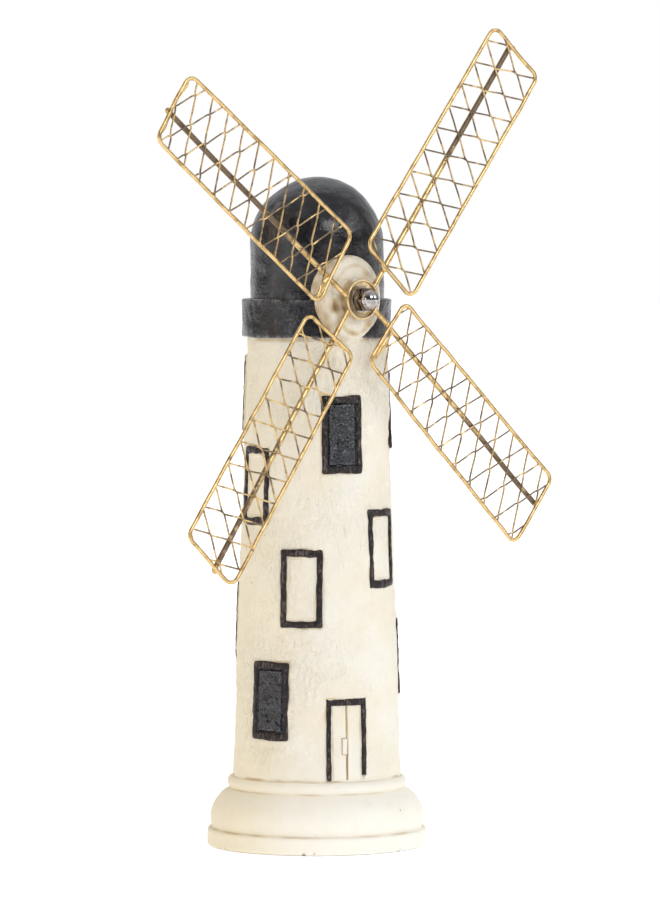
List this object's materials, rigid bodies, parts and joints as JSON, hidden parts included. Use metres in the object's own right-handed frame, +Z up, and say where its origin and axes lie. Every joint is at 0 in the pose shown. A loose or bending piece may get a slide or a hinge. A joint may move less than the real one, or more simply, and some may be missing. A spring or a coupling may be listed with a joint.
{
  "type": "windmill figurine",
  "caption": "Tower windmill figurine with a domed cap on a round plinth, painted windows and a door, and a free-turning rotor of wire lattice sails.",
  "frame": {"origin": "centre of the plinth's flat underside, on the tower axis", "axes": "+Z up along the tower axis, -Y out of the cap along the rotor shaft towards the nut, +X to the right seen from the rotor"},
  "size_m": [0.1811, 0.0798, 0.2946],
  "materials": {
    "cream_resin": "matt, brushed stucco",
    "charcoal_resin": "satin, scuffed",
    "black_trim": "hand painted, matt",
    "gloss_black": "glossy, hatched",
    "gilt_wire": "antique gilt, dark in the recesses",
    "gilt_hub": "antique gilt",
    "steel": "bright zinc",
    "chrome": "polished"
  },
  "bodies": {
    "figurine": {"acorn_nut": "chrome", "back_washer": "steel", "cap_band": "charcoal_resin", "cap_dome": "charcoal_resin", "door_frame": "black_trim", "door_latch": "cream_resin", "door_leaf_left": "cream_resin", "door_leaf_right": "cream_resin", "front_left_pane": "cream_resin", "front_left_window_frame": "black_trim", "front_right_pane": "cream_resin", "front_right_window_frame": "black_trim", "front_upper_shutter": "gloss_black", "front_upper_window_frame": "black_trim", "front_washer": "steel", "left_lower_shutter": "gloss_black", "left_lower_window_frame": "black_trim", "left_middle_pane": "cream_resin", "left_middle_window_frame": "black_trim", "plinth": "cream_resin", "rear_left_lower_pane": "cream_resin", "rear_left_lower_window_frame": "black_trim", "rear_left_upper_shutter": "gloss_black", "rear_left_upper_window_frame": "black_trim", "rear_middle_pane": "cream_resin", "rear_middle_window_frame": "black_trim", "rear_right_lower_pane": "cream_resin", "rear_right_lower_window_frame": "black_trim", "rear_right_upper_shutter": "gloss_black", "rear_right_upper_window_frame": "black_trim", "right_lower_shutter": "gloss_black", "right_lower_window_frame": "black_trim", "right_upper_pane": "cream_resin", "right_upper_window_frame": "black_trim", "shaft_boss": "cream_resin", "shaft_screw": "steel", "tower": "cream_resin"},
    "rotor": {"hub_cup": "gilt_hub", "sail_frame_lower_left": "gilt_wire", "sail_frame_lower_right": "gilt_wire", "sail_frame_upper_left": "gilt_wire", "sail_frame_upper_right": "gilt_wire", "sail_lattice_lower_left": "gilt_wire", "sail_lattice_lower_right": "gilt_wire", "sail_lattice_upper_left": "gilt_wire", "sail_lattice_upper_right": "gilt_wire", "sail_spar_lower_left": "gilt_wire", "sail_spar_lower_right": "gilt_wire", "sail_spar_upper_left": "gilt_wire", "sail_spar_upper_right": "gilt_wire"}
  },
  "joints": [
    {"name": "rotor_spin", "type": "hinge", "parent": "figurine", "child": "rotor", "pos_m": [-0.0045, -0.03, 0.197], "axis": [0, -1, 0], "continuous": true}
  ]
}
